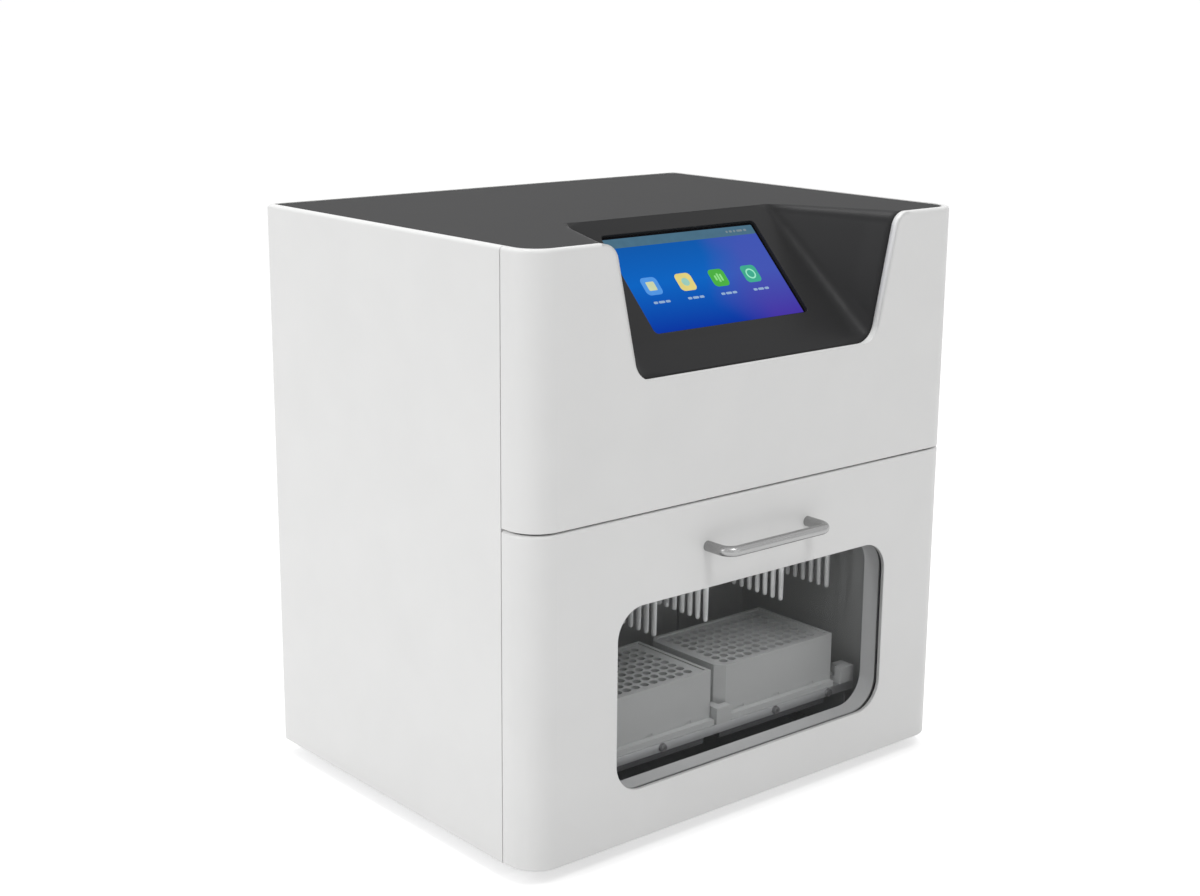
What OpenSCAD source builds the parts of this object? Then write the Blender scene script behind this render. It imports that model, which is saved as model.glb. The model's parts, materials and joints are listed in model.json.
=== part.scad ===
// Bench instrument for nucleic acid extraction: 32 magnetic rods in sleeves over two deep-well plates.
// Inside each module y is measured back from the front face and z up from the underside of the covers.
// place() then moves the piece so that the origin is the bottom centre of the whole object.

/* [Body] */
// Width over the side covers
body_w = 436; // [424:1:470]
// Depth from the door's face to the rear cover
body_d = 336; // [330:1:380]
// Height of the covers above the feet
body_h = 445; // [440:1:480]
// Thickness of the moulded covers
wall = 3; // [2.5:0.5:3.5]
// Plan radius of the two front corners
front_r = 24; // [18:1:28]
// Plan radius of the two rear corners
rear_r = 7; // [6.8:0.1:10]
// Width of the pale rim round the dark top
rim_w = 6; // [5:0.5:6.5]
// Thickness of the rim
rim_t = 3; // [2:0.5:4]
// Rounding along the top edge
edge_r = 2.5; // [1:0.5:2.5]
// Height of the rubber feet
foot_h = 12; // [12:1:25]
// Diameter of the rubber feet
foot_d = 30; // [24:1:40]
// Depth of the front cover and door, back to the seam with the side covers
seam_y = 31.7; // [31:0.1:34]
// Width of the seam
seam_gap = 0.8; // [0.6:0.1:1.5]
// How far the side covers wrap round the back
rear_wrap = 16; // [12:1:30]

/* [Screen recess] */
// Drop of the notch's lower edge below the top
notch_drop = 99.4; // [93:0.1:105]
// Half width of the notch at its lower edge
notch_half = 121.8; // [115:0.5:128]
// Lean of the notch's sides from upright
notch_lean = 12.6; // [8:0.2:16]
// Radius of the notch's lower corners
notch_r = 17; // [10:1:20]
// Radius where the notch's sides run out into the top
notch_top_r = 14; // [10:1:16]
// Depth of the recess at the top
recess_d = 104; // [100:1:110]
// Half width of the recess at its back
recess_back_half = 103; // [98:1:108]
// Thickness of the dark moulding
top_t = 3; // [2:0.5:3.5]
// Visible width of the display
lcd_w = 154; // [140:1:160]
// Visible height of the display
lcd_h = 86; // [80:1:90]
// Height of the display's lower edge up the slope
lcd_rise = 37; // [30:1:40]
// Space round the display in its opening
lcd_margin = 2; // [1:0.5:3]

/* [Door] */
// Height of the seam above the door
door_h = 250; // [248:1:260]
// Gap above the door
door_gap = 1.5; // [1.4:0.1:2.5]
// Width of the window
win_w = 283; // [260:1:290]
// Height of the window
win_h = 142; // [130:1:150]
// Height of the window's lower edge
win_z = 40; // [36:1:46]
// Sideways place of the window's centre
win_x = 3; // [0:0.5:6]
// Radius of the window's corners
win_r = 24; // [12:1:30]
// Thickness of the window pane
pane_t = 2.8; // [2.4:0.1:2.8]
// Diameter of the handle's bar
handle_d = 8; // [6:0.5:12]
// Distance between the handle's legs
handle_pitch = 105; // [90:1:160]
// Height of the handle
handle_z = 214.5; // [200:0.5:225]
// How far the handle stands out
handle_out = 27; // [24:1:40]
// Centreline radius of the handle's bends
handle_bend = 9; // [7:0.5:12]
// Diameter of the hinge pins
pin_d = 5; // [4:0.5:5]
// Depth of the door's inner liner
liner_y = 22; // [20:1:24]

/* [Deck and plates] */
// Length of a well plate
plate_l = 127.76; // [127:0.02:128]
// Width of a well plate
plate_w = 85.48; // [85:0.02:86]
// Height of a well plate
plate_h = 44; // [40:0.5:44]
// Space between the two plates
plate_gap = 9.74; // [8.7:0.02:10.7]
// Distance between neighbouring wells
well_pitch = 9; // [8.9:0.05:9.1]
// Bore of a well
well_d = 7.2; // [6.6:0.1:7.6]
// Thickness under a well
well_floor = 2.5; // [1.5:0.5:2.5]
// Height of the deck's upper face
deck_z = 50; // [48:1:50]
// Thickness of the deck
deck_t = 7; // [5:1:8]
// How far the deck runs past each plate
deck_end = 20.4; // [17.4:0.1:23.4]
// Front edge of the deck
deck_y = 36; // [35:0.5:37]
// Depth of the deck
deck_d = 98; // [96:1:100]

/* [Magnetic head] */
// Wells along one comb
comb_n = 8; // [6:1:8]
// Length of a sleeve below its comb
sleeve_l = 73; // [70:1:74]
// Diameter of a sleeve at its top
sleeve_d = 5.4; // [5:0.2:5.8]
// Diameter of a sleeve at its tip
tip_d = 3.8; // [3.6:0.1:4.2]
// Diameter of a magnet rod
rod_d = 2.2; // [1.8:0.1:2.2]
// Height of the sleeve tips at rest
tip_z = 130; // [128:1:134]
// Pitch diameter of the drive pulleys
pulley_d = 12.73; // [11:0.1:15]
// Thickness of the toothed belt
belt_t = 1.5; // [1:0.1:2]
// Width of the toothed belt
belt_w = 6; // [5:0.5:7]
// Width across the linear rails
rail_w = 9; // [7:1:11]
// Height of the linear rails
rail_h = 6.5; // [5.5:0.5:7]

/* [Frame] */
// Thickness of the steel base tray
tray_t = 2; // [1.5:0.5:3]
// Height of the tray's upturned edges
tray_lip = 18; // [12:1:24]
// Half width of the chamber
chamber_half = 170; // [166:1:172]
// Thickness of the chamber's walls
sheet_t = 1.5; // [1:0.5:2]
// Place of the chamber's back wall
chamber_back = 186; // [185:1:188]
// Depth of the gantry beam
beam_d = 30; // [26:1:34]
// Height of the gantry beam
beam_h = 50; // [48:1:52]
// Drop of the gantry beam's lower edge below the top
beam_drop = 115; // [110:1:120]
// Wall of the gantry beam
beam_wall = 3; // [2:0.5:4]

/* [Back] */
// Size of the exhaust fan
fan_w = 80; // [70:1:84]
// Thickness of the exhaust fan
fan_t = 25; // [20:1:28]
// Height of the fan's centre
fan_z = 300; // [290:1:330]
// How far the fan guard stands out
guard_t = 3; // [2:0.5:4]
// Width of the power entry
entry_w = 48; // [44:1:54]
// Height of the power entry
entry_h = 58; // [54:1:64]

/* [Hidden] */
$fn = 48;

// Overall frame
guard_out = guard_t;
front_y = (handle_out - body_d - guard_out) / 2;
half_w = body_w / 2;
inner_half = half_w - wall;
fit = 0.4;            // gap between neighbouring covers
slack = 0.3;          // gap between flat faces that slide
run = 0.05;           // radial clearance of a pin or shaft in its bore
cut = 1;              // how far a cutter runs past what it cuts
door_top = door_h - door_gap / 2;
cover_z = door_h + door_gap / 2;
door_z = 1;           // lower edge of the door above the underside
notch_z = body_h - notch_drop;
beam_z = body_h - beam_drop;
chamber_top = beam_z - 30;

// Deck: at mid travel the combs stand over the fourth and tenth columns of the plates
plate_pitch = plate_l + plate_gap;
deck_half = plate_pitch / 2 + plate_l / 2 + deck_end;
comb_in = plate_pitch / 2 - 3 * well_pitch;
comb_step = 6 * well_pitch;
park_x = 4.5 * well_pitch;

// Screen recess
slope_run = recess_d - rim_w;
top_drop = 0.5;       // the dark top lies this far below the rim
top_z = body_h - top_drop;
slope = atan2(top_z - notch_z, slope_run);
lean = tan(notch_lean);
arc_steps = 6;
recess_rows = [0, 0.2, 0.4, 0.6, 0.8, 0.9, 1];
least_rise = 3;       // lowest section of the recess
back_shrink = 0.6;    // share of the lower corner radius lost towards the back
lip_shrink = 0.4;     // share of the upper lip radius lost towards the back

// Hinge
hinge_y = 10;
hinge_z = 4.5;
hinge_r = 4.5;
arm_t = 4.5;
arm_x = chamber_half + sheet_t + slack;     // inner face of a bracket's arm
ear_t = 4;
ear_x = arm_x + arm_t + slack;              // inner face of an ear

// Head
plate_front = deck_y + 7;
plate_mid_y = plate_front + plate_w / 2;
comb_y0 = plate_mid_y - (comb_n - 1) * well_pitch / 2;
comb_y1 = plate_mid_y + (comb_n - 1) * well_pitch / 2;
comb_xs = [-comb_in - comb_step, -comb_in, comb_in, comb_in + comb_step];
comb_strip_t = 4;
comb_half = 7;
comb_z = tip_z + sleeve_l;              // underside of the comb strips
holder_z = comb_z + comb_strip_t;       // underside of the comb holder
holder_t = 6;
holder_top = holder_z + holder_t;
holder_half = comb_in + comb_step + 11;
holder_y0 = deck_y + 10;
holder_boss_h = 3;
frame_y = 130;                          // front of the sleeve frame's back plate
frame_t = 5;
frame_half = 75;
rod_plate_t = 5;
rod_block_l = 34;
rod_room = 27;                          // space from the rods' slide blocks up to the shelf
shelf_z = beam_z + 36;                  // underside of the rod motor's shelf
shelf_t = 4;
rod_plate_z = shelf_z - rod_room - rod_block_l - rod_plate_t;
rod_axis_y = 105;
rod_rail_x = 40;
rod_screw_d = 6;
z_axis_y = 152;
z_screw_d = 8;
z_rail_x = 30;
block_w = 20;
block_arm = 3.5;                        // depth of a slide block's arms beside the rail
block_back = 8.2;                       // thickness of a slide block over the rail
z_block_l = 40;
saddle_z = shelf_z - 16;
saddle_h = 32;
beam_y = chamber_back + 10;
rail_front = beam_y - rail_h;
carriage_t = 6;
carriage_back = rail_front - slack - block_back;   // rear face of the carriage plate
carriage_y = carriage_back - carriage_t;
carriage_half = 60;
carriage_z0 = holder_top + 9;
motor_shelf_z = beam_z + 63;
carriage_top = motor_shelf_z + 11;
z_rail_front = carriage_y - rail_h;
belt_z = beam_z + beam_h + 25;          // height of the pulleys' axes
pulley_x = 150;
pulley_y = beam_y - 13;
pulley_w = belt_w + 3;
pulley_ear_t = 3;                       // thickness of the beam's ears that hold the pulleys
nema = 42;                              // width of the two large motors
motor_l = 38;
motor_bore = 5 + 2 * run;
rod_motor_w = 35;
rod_motor_l = 30;

module place() { translate([0, front_y, foot_h]) children(); }

module head() { translate([park_x, 0, 0]) children(); }

module both() { children(); mirror([1, 0, 0]) children(); }

// A box from its lowest to its highest corner
module box(low, high) { translate(low) cube(high - low); }

// A round bar between two values of y
module bar_y(x, z, y0, y1, d) { translate([x, y1, z]) rotate([90, 0, 0]) cylinder(h = y1 - y0, d = d); }

module bar_x(y, z, x0, x1, d) { translate([x0, y, z]) rotate([0, 90, 0]) cylinder(h = x1 - x0, d = d); }

module bar_z(x, y, z0, z1, d) { translate([x, y, z0]) cylinder(h = z1 - z0, d = d); }

// A flat outline in x and z, given depth from y0 to y1
module slab_y(y0, y1) { translate([0, y1, 0]) rotate([90, 0, 0]) linear_extrude(y1 - y0) children(); }

// A flat outline in y and z, given width from x0 to x1
module slab_x(x0, x1) { translate([x0, 0, 0]) rotate([90, 0, 90]) linear_extrude(x1 - x0) children(); }

// A rectangle with round corners: r0 at the low y side and r1 at the high y side
module round_rect(x0, x1, y0, y1, r0, r1) {
    translate([x0, y0 + r0]) square([x1 - x0, y1 - y0 - r0 - r1]);
    translate([x0 + r0, y0]) square([x1 - x0 - 2 * r0, r0]);
    translate([x0 + r1, y1 - r1]) square([x1 - x0 - 2 * r1, r1]);
    for (x = [x0 + r0, x1 - r0]) translate([x, y0 + r0]) circle(r0);
    for (x = [x0 + r1, x1 - r1]) translate([x, y1 - r1]) circle(r1);
}

// A rectangle about its middle, with equal round corners
module rounded(w, h, r) { round_rect(-w / 2, w / 2, -h / 2, h / 2, r, r); }

// ---- covers ----

// Section through a cover: x is the distance in from its outer face
module wall_section(z0, z1, rim) {
    difference() {
        union() {
            translate([0, z0]) square([wall, z1 - z0]);
            if (rim) translate([0, z1 - rim_t]) square([rim_w, rim_t]);
        }
        difference() {
            translate([-cut, z1 - edge_r]) square(edge_r + cut);
            translate([edge_r, z1 - edge_r]) circle(edge_r);
        }
    }
}

module wall_corner(r, z0, z1, rim) {
    rotate_extrude(angle = 90) translate([r, 0]) mirror([1, 0]) wall_section(z0, z1, rim);
}

// The left side of a cover, between two values of y
module side_run(y0, y1, z0, z1, rim) {
    translate([-half_w, y1, 0]) rotate([90, 0, 0]) linear_extrude(y1 - y0) wall_section(z0, z1, rim);
}

// The U-shaped shell of the front cover and of the door
module front_shell(z0, z1, rim) {
    both() {
        side_run(front_r, seam_y, z0, z1, rim);
        translate([-half_w + front_r, front_r, 0]) rotate([0, 0, 180]) wall_corner(front_r, z0, z1, rim);
        translate([-half_w + front_r, 0, 0]) rotate([90, 0, 90])
            linear_extrude(half_w - front_r) wall_section(z0, z1, rim);
    }
}

module side_cover() {
    run_end = body_d - rear_r;
    side_run(seam_y + seam_gap, run_end, 0, body_h, true);
    translate([-half_w + rear_r, run_end, 0]) rotate([0, 0, 90]) wall_corner(rear_r, 0, body_h, true);
    translate([-half_w + rear_r, body_d, 0]) mirror([0, 1, 0]) rotate([90, 0, 90])
        linear_extrude(rear_wrap - rear_r) wall_section(0, body_h, false);
    // a tongue behind the seam shuts out light beside the door
    tongue_x = -inner_half + seam_gap;
    tongue_t = 2;
    lap = 6;
    box([-inner_half, seam_y + seam_gap, tray_lip + fit], [tongue_x + tongue_t, seam_y + lap, door_top]);
    box([tongue_x, seam_y - lap, tray_lip + fit], [tongue_x + tongue_t, seam_y + lap, door_top]);
}

module left_side_cover() { color("whitesmoke") side_cover(); }

module right_side_cover() { color("whitesmoke") mirror([1, 0, 0]) side_cover(); }

// The notch's outline in x and z. Grown outwards, it has a chamfer where it runs out into the top.
module notch_outline(grow = 0) {
    low = [notch_half + notch_r * (lean - 1 / cos(notch_lean)), notch_z + notch_r];
    low_r = notch_r + grow;
    side = [low[0] + low_r * cos(notch_lean), low[1] - low_r * sin(notch_lean)];
    high_z = body_h - notch_top_r;
    high = [notch_half + lean * (high_z - notch_z) + notch_top_r / cos(notch_lean), high_z];
    high_r = notch_top_r - grow;
    run_out = [high[0] - high_r * cos(notch_lean), high[1] + high_r * sin(notch_lean)];
    over = body_h + cut;
    for (s = [-1, 1]) {
        translate([s * low[0], low[1]]) circle(low_r);
        difference() {
            polygon([[s * run_out[0], run_out[1]], [s * run_out[0], over], [s * high[0], over],
                [s * high[0], high[1] + high_r]]);
            if (grow == 0) translate([s * high[0], high[1]]) circle(high_r);
        }
    }
    polygon([[-low[0], notch_z - grow], [low[0], notch_z - grow], side, run_out, [run_out[0], over],
        [-run_out[0], over], [-run_out[0], run_out[1]], [-side[0], side[1]]]);
}

module upper_front_cover() {
    strap_t = 2;
    shelf_y = deck_y + 6;
    color("gainsboro") {
        difference() {
            front_shell(cover_z, body_h, true);
            slab_y(-cut, rim_w + cut) notch_outline();
        }
        // the return that frames the notch
        slab_y(0, rim_w) difference() {
            intersection() {
                notch_outline(wall);
                translate([-half_w, 0]) square([body_w, body_h]);
            }
            notch_outline();
        }
        // straps that lap behind the side covers
        both() box([-inner_half, front_r, cover_z], [-inner_half + strap_t, seam_y + 10, body_h - rim_t - 4]);
        // lower shelf that closes the cover above the door
        box([-chamber_half + 5, wall, cover_z], [chamber_half - 5, shelf_y, cover_z + wall]);
    }
}

// One section of the screen recess across x, at a share t of its depth
function recess_section(t, grow, cap) =
    let (floor_z = notch_z + t * (top_z - notch_z),
        low_z = floor_z - grow / cos(slope),
        half = notch_half + t * (recess_back_half - notch_half) + grow / cos(notch_lean)
            + lean * (low_z - floor_z),
        high_z = max(top_z, floor_z + least_rise) - grow,
        want_low = notch_r * (1 - back_shrink * t) + grow,
        want_high = notch_top_r * (1 - lip_shrink * t) - grow,
        room = 0.95 * (high_z - low_z) / ((want_low + want_high) * (1 - sin(notch_lean))),
        low_r = want_low * min(1, room),
        high_r = want_high * min(1, room),
        low_x = half + low_r * (lean - 1 / cos(notch_lean)),
        high_x = half + lean * (high_z - high_r - low_z) + high_r / cos(notch_lean))
    concat(
        [for (i = [0:arc_steps]) let (a = -90 + (90 - notch_lean) * i / arc_steps)
            [low_x + low_r * cos(a), low_z + low_r + low_r * sin(a)]],
        [for (i = [0:arc_steps]) let (a = 180 - notch_lean - (90 - notch_lean) * i / arc_steps)
            [high_x + high_r * cos(a), high_z - high_r + high_r * sin(a)]],
        [[high_x, high_z + cap]]);

// The recess as a loft through its sections, from just before the front row to just past the back row
module recess_loft(grow, cap, before, beyond) {
    rows = concat([for (t = recess_rows) t], beyond > 0 ? [1 + beyond / slope_run] : []);
    half_n = 2 * arc_steps + 3;
    n = 2 * half_n;
    points = [for (k = [0:len(rows) - 1])
        let (t = rows[k], s = recess_section(t, grow, cap), y = rim_w + t * slope_run - (k == 0 ? before : 0))
        for (i = [0:n - 1]) i < half_n ? [s[i][0], y, s[i][1]] : [-s[n - 1 - i][0], y, s[n - 1 - i][1]]];
    last = (len(rows) - 1) * n;
    skin = [for (k = [0:len(rows) - 2]) for (i = [0:n - 1])
        let (a = k * n + i, b = k * n + (i + 1) % n)
        for (f = [[a, b, b + n], [a, b + n, a + n]]) f];
    front = [for (i = [0:half_n - 2]) for (f = [[i, n - 1 - i, i + 1], [i + 1, n - 1 - i, n - 2 - i]]) f];
    back = [for (f = front) [last + f[0], last + f[2], last + f[1]]];
    polyhedron(points, concat(skin, front, back));
}

// Draws on the sloping panel: x across, y up the slope, z out of it
module on_slope() { translate([0, rim_w, notch_z]) rotate([slope, 0, 0]) children(); }

module top_outline(inset, r_back) {
    round_rect(-half_w + inset, half_w - inset, inset, body_d - wall - fit, front_r - inset, r_back);
}

module top_cover() {
    flange_t = 1.5;
    plate_t = 3.5;
    mouth_r = 4;
    color("dimgray") difference() {
        union() {
            translate([0, 0, top_z - plate_t]) linear_extrude(plate_t) top_outline(rim_w + fit, rear_r + 1);
            difference() {
                translate([0, 0, body_h - rim_t - flange_t]) linear_extrude(flange_t)
                    top_outline(wall + fit, rear_r - wall);
                slab_y(0, rim_w + fit) notch_outline(wall + fit);
            }
            recess_loft(top_t, 0, -fit, 0);
        }
        recess_loft(0, 5, cut, 6);
        on_slope() translate([0, 0, -top_t - cut]) linear_extrude(top_t + 2 * cut)
            round_rect(-lcd_w / 2 - lcd_margin, lcd_w / 2 + lcd_margin, lcd_rise - lcd_margin,
                lcd_rise + lcd_h + lcd_margin, mouth_r, mouth_r);
    }
}

module touch_display() {
    glass_t = 2;
    glass_edge = 6;
    case_t = 7;
    case_edge = 3;
    color("midnightblue") on_slope() {
        translate([0, 0, -top_t - glass_t]) linear_extrude(glass_t)
            round_rect(-lcd_w / 2 - glass_edge, lcd_w / 2 + glass_edge, lcd_rise - glass_edge,
                lcd_rise + lcd_h + glass_edge, 2, 2);
        box([-lcd_w / 2 - case_edge, lcd_rise - case_edge, -top_t - glass_t - case_t],
            [lcd_w / 2 + case_edge, lcd_rise + lcd_h + case_edge, -top_t - glass_t]);
    }
}

// ---- base and frame ----

foot_spots = [for (x = [-1, 1]) for (y = [deck_y + 20, body_d - 42]) [x * (half_w - 38), y]];
screw_r = 2;
screw_head_r = 3.6;
screw_head_t = 2.4;

module base_tray() {
    back_y = body_d - wall;
    vent_n = 9;
    vent_pitch = 16;
    module outline(inset) {
        round_rect(-inner_half + inset, inner_half - inset, deck_y + inset, back_y - inset,
            1, rear_r - wall - inset / 2);
    }
    color("darkgray") difference() {
        difference() {
            linear_extrude(tray_lip) outline(0);
            translate([0, 0, tray_t]) linear_extrude(tray_lip) outline(tray_t);
            both() box([chamber_half, deck_y - cut, tray_t], [half_w, deck_y + 6, tray_lip + cut]);
        }
        for (p = foot_spots) bar_z(p[0], p[1], -cut, tray_t + cut, 2 * screw_r);
        for (i = [0:vent_n - 1])
            translate([(i - (vent_n - 1) / 2) * vent_pitch, chamber_back + 50, -cut])
                linear_extrude(tray_t + 2 * cut) round_rect(-3, 3, -22, 22, 2.9, 2.9);
    }
}

module rubber_feet() {
    recess_r = screw_head_r + 1.4;
    recess_h = foot_h - 6;
    color("black") for (p = foot_spots) translate([p[0], p[1], -foot_h]) difference() {
        cylinder(h = foot_h, r1 = foot_d / 2 - 2, r2 = foot_d / 2);
        translate([0, 0, -cut]) cylinder(h = recess_h + cut, r = recess_r);
        cylinder(h = foot_h + cut, r = screw_r);
    }
}

rear_screws = [for (x = [-1, 1]) for (z = [tray_lip / 2, body_h / 2, body_h - 24])
    [x * (half_w - rear_wrap - 12), z]];
lip_screws = [-2, -1, 1, 2] * (deck_half / 2.5);

// One pan-head screw along z with its head on top of z = 0
module screw(shank) {
    difference() {
        cylinder(h = screw_head_t, r1 = screw_head_r, r2 = screw_head_r - 0.6);
        translate([0, 0, screw_head_t - 1.2]) cylinder(h = 1.2 + cut, r = 1.5, $fn = 6);
    }
    translate([0, 0, -shank]) cylinder(h = shank, r = screw_r);
}

module chassis_screws() {
    color("silver") {
        for (p = foot_spots) translate([p[0], p[1], -6]) rotate([180, 0, 0]) screw(6 + tray_t);
        for (p = rear_screws) translate([p[0], body_d, p[1]]) rotate([-90, 0, 0]) screw(wall);
        for (x = lip_screws) translate([x, deck_y, deck_z - deck_t / 2]) rotate([90, 0, 0]) screw(8);
    }
}

module rear_cover() {
    edge = half_w - rear_wrap - fit;
    lap = rear_wrap + fit - rear_r;
    lap_t = 2;
    color("gainsboro") difference() {
        union() {
            translate([-edge, body_d, 0]) mirror([0, 1, 0]) rotate([90, 0, 90])
                linear_extrude(2 * edge) wall_section(0, body_h, false);
            both() box([-edge - lap, body_d - wall - lap_t, tray_lip + fit],
                [-edge + 6, body_d - wall, body_h - rim_t - 6]);
        }
        for (p = rear_screws) bar_y(p[0], p[1], body_d - wall - lap_t - cut, body_d + cut, 2 * screw_r);
        bar_y(fan_x, fan_z, body_d - wall - cut, body_d + cut, fan_w - 6);
        entry_cut();
        // louvres beside the fan
        for (i = [0:7]) slab_y(body_d - wall - cut, body_d + cut)
            translate([-fan_x, fan_z - 35 + 10 * i]) round_rect(-34, 34, -2, 2, 1.9, 1.9);
    }
}

// ---- chamber, deck and plates ----

module chamber_walls() {
    rib_w = 8;
    rib_t = 3;
    rib_x = 80;                         // middle of each pair of ribs
    rib_pitch = 28;
    color("slategray") {
        both() box([-chamber_half - sheet_t, deck_y + tray_t, tray_t],
            [-chamber_half, chamber_back + sheet_t, chamber_top]);
        box([-chamber_half, chamber_back, tray_t], [chamber_half, chamber_back + sheet_t, chamber_top]);
        for (s = [-1, 1]) for (x = [s * rib_x - rib_pitch / 2, s * rib_x + rib_pitch / 2])
            box([x - rib_w / 2, chamber_back - rib_t, tray_t], [x + rib_w / 2, chamber_back, chamber_top]);
    }
}

heater_l = 110;
heater_w = 70;
heater_flange = 5;

module deck_plate() {
    color("silver") difference() {
        box([-deck_half, deck_y, deck_z - deck_t], [deck_half, deck_y + deck_d, deck_z]);
        both() under_plate(0, deck_z - deck_t - cut, deck_z + cut);
        for (x = lip_screws) bar_y(x, deck_z - deck_t / 2, deck_y - cut, deck_y + 8, 2 * screw_r);
    }
}

// A block under the right plate, wider than the heater's top by a distance on each side
module under_plate(grow, z0, z1) {
    x = heater_l / 2 + grow;
    y = heater_w / 2 + grow;
    box([plate_pitch / 2 - x, plate_mid_y - y, z0], [plate_pitch / 2 + x, plate_mid_y + y, z1]);
}

module heater_blocks() {
    block_h = 10;
    color("darkslategray") both() {
        under_plate(-fit, deck_z - deck_t, deck_z);
        under_plate(heater_flange, deck_z - deck_t - block_h, deck_z - deck_t);
    }
}

// Two channels under the ends of the deck, clear of the heater blocks
module deck_supports() {
    leg_t = 2;
    leg_x = deck_half - 2;
    foot = leg_x - plate_pitch / 2 - heater_l / 2 - heater_flange - 8;
    color("gray") both() {
        box([-leg_x, deck_y + 6, tray_t], [-leg_x + leg_t, deck_y + deck_d - 4, deck_z - deck_t]);
        for (z = [tray_t, deck_z - deck_t - leg_t])
            box([-leg_x, deck_y + 6, z], [-leg_x + foot, deck_y + deck_d - 4, z + leg_t]);
    }
}

module plate_locators() {
    post_h = 13.5;
    gap_half = (plate_pitch - plate_l) / 2 - 0.8;
    tip_room = comb_y0 - tip_d / 2 - 2;
    back_y = comb_y1 + tip_d / 2 + 2.4;
    end_x = plate_pitch / 2 + plate_l / 2;
    deck_back = deck_y + deck_d;
    color("lightgray") {
        // front centre post, with a tongue between the plates
        box([-gap_half, deck_y, deck_z], [11.5, plate_front - fit, deck_z + post_h]);
        box([-gap_half, deck_y, deck_z], [gap_half, tip_room, deck_z + post_h]);
        box([-gap_half, back_y, deck_z], [gap_half, deck_back, deck_z + post_h]);
        both() {
            difference() {
                box([end_x + 5, deck_y, deck_z], [deck_half, tip_room, deck_z + post_h]);
                box([end_x + 4, plate_front, deck_z + 5], [end_x + 9, tip_room + cut, deck_z + post_h + cut]);
            }
            box([end_x + 1.2, back_y, deck_z], [deck_half, deck_back, deck_z + post_h]);
        }
        // low strips in front of the plates
        for (x = [[-end_x + 2, -gap_half - 1], [13, end_x - 2]])
            box([x[0], deck_y + 1.5, deck_z], [x[1], plate_front, deck_z + 4.5]);
    }
}

module well_plate() {
    chamfer = 7;
    rim = 1.2;
    rim_width = 3;
    cone_h = 3;
    notch_size = [7, 0.8, 2];           // grip notches in the foot of the long sides
    notch_low = 5;
    notch_pitch = 40;
    module outline(inset) {
        x = plate_l / 2 - inset;
        y = plate_w / 2 - inset;
        c = chamfer - inset / 2;
        polygon([[-x + c, -y], [x, -y], [x, y], [-x + c, y], [-x, y - c], [-x, -y + c]]);
    }
    color("lightgray") translate([0, plate_mid_y, deck_z]) difference() {
        linear_extrude(plate_h) outline(0);
        for (x = [-notch_pitch, 0, notch_pitch]) for (y = [-plate_w / 2 - cut, plate_w / 2 - notch_size[1]])
            translate([x - notch_size[0] / 2, y, notch_low]) cube(notch_size + [0, cut, 0]);
        translate([0, 0, plate_h - rim]) linear_extrude(rim + cut) outline(rim_width);
        for (i = [0:11]) for (j = [0:7])
            translate([(i - 5.5) * well_pitch, (j - 3.5) * well_pitch, 0]) rotate_extrude()
                polygon([[0, well_floor], [0.8, well_floor], [well_d / 2, well_floor + cone_h],
                    [well_d / 2, plate_h + cut], [0, plate_h + cut]]);
    }
}

module left_well_plate() { translate([-plate_pitch / 2, 0, 0]) well_plate(); }

module right_well_plate() { translate([plate_pitch / 2, 0, 0]) well_plate(); }

// ---- gantry and X drive ----

beam_half = chamber_half + 6;

// Each upright stands on a foot that is turned inwards, behind the chamber
module gantry_uprights() {
    post_t = 3;
    foot = 20;
    y0 = beam_y - 6;
    y1 = beam_y + beam_d + 24;
    color("gray") both() {
        box([beam_half, y0, tray_t], [beam_half + post_t, y1, beam_z + beam_h + 5]);
        box([beam_half - foot, y0, tray_t], [beam_half, y1, tray_t + post_t]);
    }
}

module gantry_beam() {
    ear_half = nema / 2 + 2;
    top = beam_z + beam_h;
    color("lightsteelblue") difference() {
        union() {
            difference() {
                box([-beam_half, beam_y, beam_z], [beam_half, beam_y + beam_d, top]);
                box([-beam_half - cut, beam_y + beam_wall, beam_z + beam_wall],
                    [beam_half + cut, beam_y + beam_d - beam_wall, top - beam_wall]);
            }
            for (x = [-pulley_x, pulley_x]) {
                box([x - ear_half, beam_y, top], [x + ear_half, beam_y + beam_d, top + pulley_ear_t]);
                box([x - ear_half, beam_y, top], [x + ear_half, beam_y + pulley_ear_t, belt_z + ear_half]);
            }
            bar_y(pulley_x, belt_z, pulley_y - 1, beam_y + pulley_ear_t, 5);
        }
        bar_y(-pulley_x, belt_z, beam_y - cut, beam_y + pulley_ear_t + cut, 22);
    }
}

// Section of a linear rail: x across, y up from its foot
module rail_section() {
    waist = 1;
    difference() {
        translate([-rail_w / 2, 0]) square([rail_w, rail_h]);
        for (s = [-1, 1]) translate([s * rail_w / 2, rail_h * 0.62]) circle(waist);
    }
}

// Section of a slide block over a rail, with its back face flush at block_back
module block_section() {
    difference() {
        translate([-block_w / 2, rail_h - block_arm]) square([block_w, block_arm + slack + block_back]);
        translate([-rail_w / 2 - slack, 0]) square([rail_w + 2 * slack, rail_h + slack]);
    }
}

// Rails along x on a face that looks to -y
module along_x(x0, x1, y, z) {
    translate([x0, y, z]) rotate([90, 0, 0]) rotate([90, 0, 90]) linear_extrude(x1 - x0) children();
}

// Rails along z on a face that looks to -y
module along_z(x, y, z0, z1) {
    translate([x, y, z0]) mirror([0, 1, 0]) linear_extrude(z1 - z0) children();
}

x_rail_zs = [beam_z + 12, beam_z + beam_h - 12];

module x_rails() {
    color("silver") for (z = x_rail_zs) along_x(-chamber_half, chamber_half, beam_y, z) rail_section();
}

module x_slide_blocks() {
    block_l = 30;
    block_x = carriage_half - 22;
    color("darkgreen") head() for (z = x_rail_zs) for (x = [-block_x, block_x])
        along_x(x - block_l / 2, x + block_l / 2, beam_y, z) block_section();
}

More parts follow.
